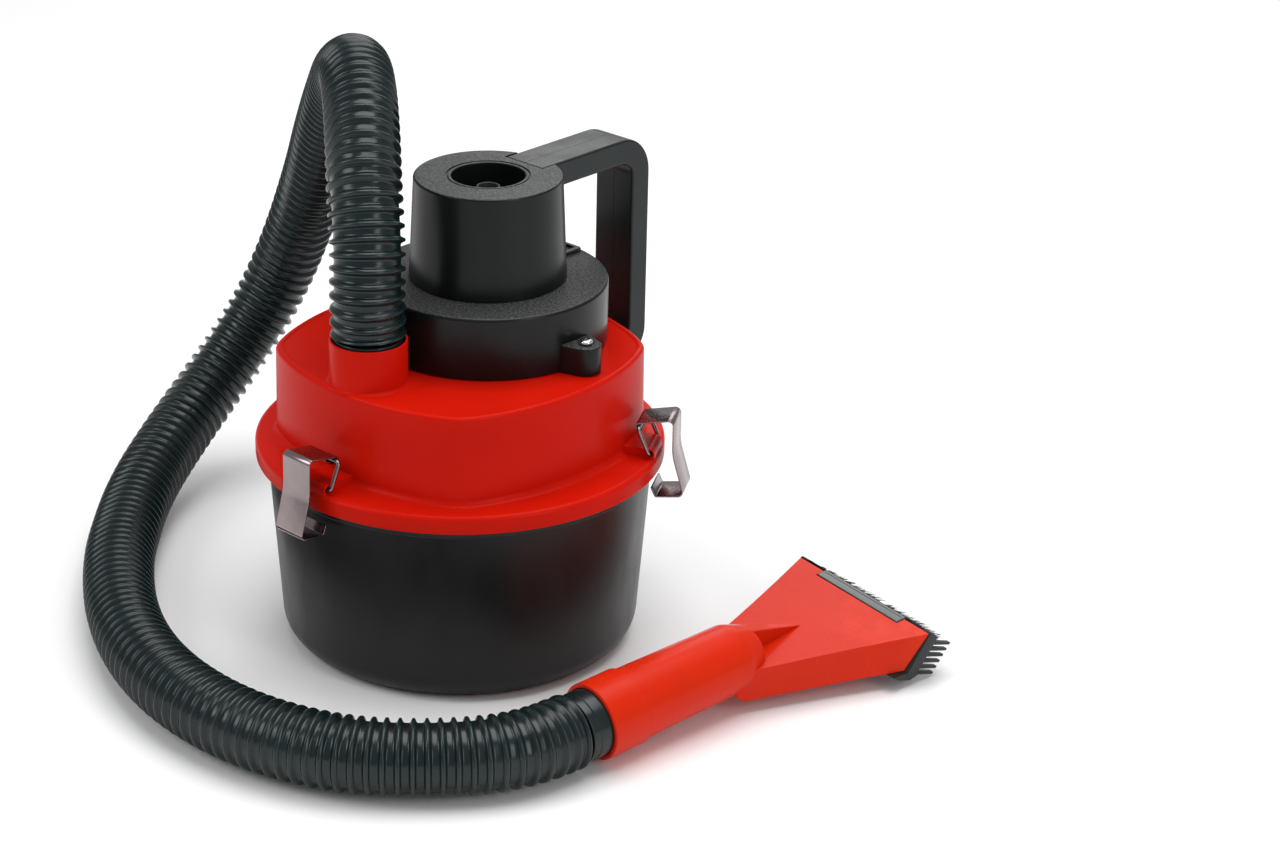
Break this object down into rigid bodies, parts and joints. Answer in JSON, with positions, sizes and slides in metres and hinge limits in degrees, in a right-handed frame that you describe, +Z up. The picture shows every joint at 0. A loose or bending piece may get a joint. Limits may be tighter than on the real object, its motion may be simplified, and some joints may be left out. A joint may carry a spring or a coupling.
{
  "type": "shop vacuum",
  "caption": "Small round wet and dry vacuum: bucket, clamped lid with motor head and carrying handle, and a ribbed hose with a flat brush nozzle.",
  "frame": {"origin": "middle of the bucket's base, on the floor", "axes": "+Z up along the bucket's axis, +Y from the hose port towards the carrying handle, +X to the right seen from the port's side"},
  "size_m": [0.4444, 0.3302, 0.2876],
  "materials": {
    "bucket_black": "satin",
    "lid_red": "gloss",
    "housing_black": "satin",
    "handle_black": "satin",
    "switch_black": "satin",
    "hose_black": "satin",
    "nozzle_red": "gloss",
    "insert_black": "matte",
    "bristle_black": "matte",
    "tab_grey": "satin",
    "latch_steel": "satin",
    "screw_steel": "polished",
    "motor_steel": "satin",
    "internal_plastic": "matte",
    "fan_plastic": "matte",
    "filter_foam": "matte",
    "float_white": "satin",
    "bronze": "satin",
    "rubber": "matte"
  },
  "bodies": {
    "bucket": {"bucket": "bucket_black"},
    "head": {"lid": "lid_red", "lid_gasket": "rubber", "inlet_deflector": "internal_plastic", "motor_housing": "housing_black", "housing_screw_left": "screw_steel", "housing_screw_right": "screw_steel", "cord_gland": "rubber", "top_cap": "housing_black", "motor_can": "motor_steel", "motor_end_cap": "internal_plastic", "motor_bush_lower": "bronze", "motor_bush_upper": "bronze", "motor_mount_plate": "internal_plastic", "fan_cover": "internal_plastic", "fan_cover_screw_1": "screw_steel", "fan_cover_screw_2": "screw_steel", "fan_cover_screw_3": "screw_steel", "filter_cage": "internal_plastic", "filter_sleeve": "filter_foam", "filter_end_cap": "internal_plastic", "switch_bezel": "insert_black", "handle_left": "handle_black", "handle_right": "handle_black", "handle_screw_1": "screw_steel", "handle_screw_2": "screw_steel", "handle_screw_3": "screw_steel", "foot_screw_left": "screw_steel", "foot_screw_right": "screw_steel", "hose_inlet_cuff": "hose_black", "hose": "hose_black", "hose_end_cuff": "hose_black"},
    "rotor": {"motor_shaft": "motor_steel", "motor_armature": "motor_steel", "impeller": "fan_plastic", "impeller_nut": "motor_steel"},
    "float": {"float_ball": "float_white"},
    "rocker": {"switch_rocker": "switch_black"},
    "bail_1": {"latch_wire_1": "latch_steel"},
    "strap_1": {"latch_strap_1": "latch_steel"},
    "bail_2": {"latch_wire_2": "latch_steel"},
    "strap_2": {"latch_strap_2": "latch_steel"},
    "bail_3": {"latch_wire_3": "latch_steel"},
    "strap_3": {"latch_strap_3": "latch_steel"},
    "tool": {"nozzle": "nozzle_red"},
    "brush_insert": {"squeegee_frame": "insert_black", "brush_strip": "bristle_black", "release_tab": "tab_grey"}
  },
  "joints": [
    {"name": "lid_lift", "type": "slide", "parent": "bucket", "child": "head", "axis": [0, 0, 1], "range_m": [0, 0.12]},
    {"name": "rotor_spin", "type": "hinge", "parent": "head", "child": "rotor", "pos_m": [0, 0.019, 0.17], "axis": [0, 0, 1], "continuous": true},
    {"name": "float_rise", "type": "slide", "parent": "head", "child": "float", "axis": [0, 0, 1], "range_m": [0, 0.0155]},
    {"name": "switch_rock", "type": "hinge", "parent": "head", "child": "rocker", "pos_m": [0, 0.0683, 0.1809], "axis": [0, -1, 0], "range_deg": [0, 16]},
    {"name": "latch_1_bail", "type": "hinge", "parent": "head", "child": "bail_1", "pos_m": [0, -0.0965, 0.1063], "axis": [1, 0, 0], "range_deg": [-2, 36]},
    {"name": "latch_1_strap", "type": "hinge", "parent": "bail_1", "child": "strap_1", "pos_m": [0, -0.091, 0.1195], "axis": [-1, 0, 0], "range_deg": [-5, 120]},
    {"name": "latch_2_bail", "type": "hinge", "parent": "head", "child": "bail_2", "pos_m": [0.08357, 0.04825, 0.1063], "axis": [-0.5, 0.866, 0], "range_deg": [-2, 36]},
    {"name": "latch_2_strap", "type": "hinge", "parent": "bail_2", "child": "strap_2", "pos_m": [0.07881, 0.0455, 0.1195], "axis": [0.5, -0.866, 0], "range_deg": [-5, 120]},
    {"name": "latch_3_bail", "type": "hinge", "parent": "head", "child": "bail_3", "pos_m": [-0.08357, 0.04825, 0.1063], "axis": [-0.5, -0.866, 0], "range_deg": [-2, 36]},
    {"name": "latch_3_strap", "type": "hinge", "parent": "bail_3", "child": "strap_3", "pos_m": [-0.07881, 0.0455, 0.1195], "axis": [0.5, 0.866, 0], "range_deg": [-5, 120]},
    {"name": "nozzle_pull", "type": "slide", "parent": "head", "child": "tool", "axis": [0.1165, 0.9918, 0.0523], "range_m": [0, 0.03]},
    {"name": "insert_pull", "type": "slide", "parent": "tool", "child": "brush_insert", "axis": [0.1165, 0.9918, 0.0523], "range_m": [0, 0.015]}
  ],
  "couplings": [
    {"joint": "latch_1_bail", "follows": "latch_1_strap", "ratio": 0.29},
    {"joint": "latch_2_bail", "follows": "latch_2_strap", "ratio": 0.29},
    {"joint": "latch_3_bail", "follows": "latch_3_strap", "ratio": 0.29}
  ]
}
